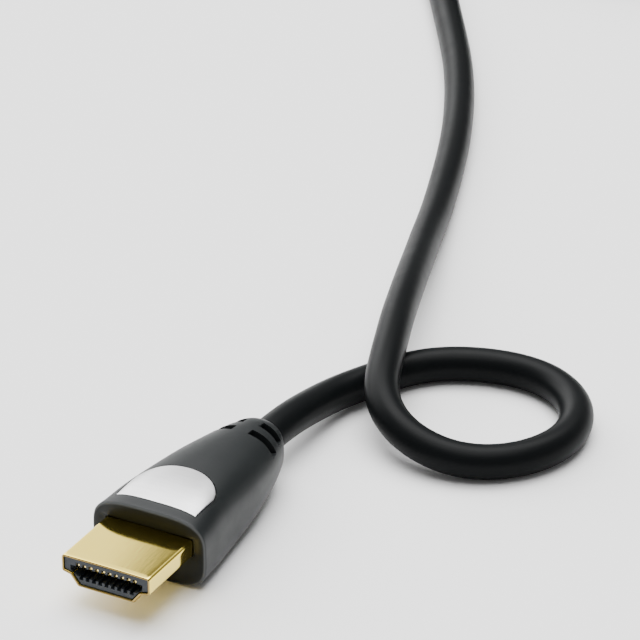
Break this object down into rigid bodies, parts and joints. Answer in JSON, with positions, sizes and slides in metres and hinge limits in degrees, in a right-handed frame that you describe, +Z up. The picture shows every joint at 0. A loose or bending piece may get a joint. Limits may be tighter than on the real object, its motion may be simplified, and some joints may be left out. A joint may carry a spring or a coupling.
{
  "type": "hdmi cable",
  "caption": "Audio and video cable with a gold-plated plug at each end; one loose loop, the rest coiled and tied.",
  "frame": {"origin": "on the floor under the middle of the near plug, the cord and what is on it left out", "axes": "+Y from the near plug's mating end towards its cord, +Z up from the underside to the label plate, +X to the right seen from above"},
  "size_m": [0.1253, 0.318, 0.0122],
  "materials": {
    "gold_plate": "polished gold plating",
    "insulator": "satin moulded",
    "moulded_body": "satin soft-touch",
    "label_plate": "brushed",
    "cord_jacket": "satin",
    "tie": "matte"
  },
  "bodies": {
    "root": {"plug_shell": "gold_plate", "plug_insulator": "insulator", "plug_body": "moulded_body", "plug_label_plate": "label_plate", "contact_01": "gold_plate", "contact_02": "gold_plate", "contact_03": "gold_plate", "contact_04": "gold_plate", "contact_05": "gold_plate", "contact_06": "gold_plate", "contact_07": "gold_plate", "contact_08": "gold_plate", "contact_09": "gold_plate", "contact_10": "gold_plate", "contact_11": "gold_plate", "contact_12": "gold_plate", "contact_13": "gold_plate", "contact_14": "gold_plate", "contact_15": "gold_plate", "contact_16": "gold_plate", "contact_17": "gold_plate", "contact_18": "gold_plate", "contact_19": "gold_plate", "cord_run": "cord_jacket", "cord_coil": "cord_jacket", "cord_tie": "tie", "cord_tail": "cord_jacket", "far_shell": "gold_plate", "far_insulator": "insulator", "far_body": "moulded_body", "far_label_plate": "label_plate", "far_contact_01": "gold_plate", "far_contact_02": "gold_plate", "far_contact_03": "gold_plate", "far_contact_04": "gold_plate", "far_contact_05": "gold_plate", "far_contact_06": "gold_plate", "far_contact_07": "gold_plate", "far_contact_08": "gold_plate", "far_contact_09": "gold_plate", "far_contact_10": "gold_plate", "far_contact_11": "gold_plate", "far_contact_12": "gold_plate", "far_contact_13": "gold_plate", "far_contact_14": "gold_plate", "far_contact_15": "gold_plate", "far_contact_16": "gold_plate", "far_contact_17": "gold_plate", "far_contact_18": "gold_plate", "far_contact_19": "gold_plate"}
  },
  "joints": []
}
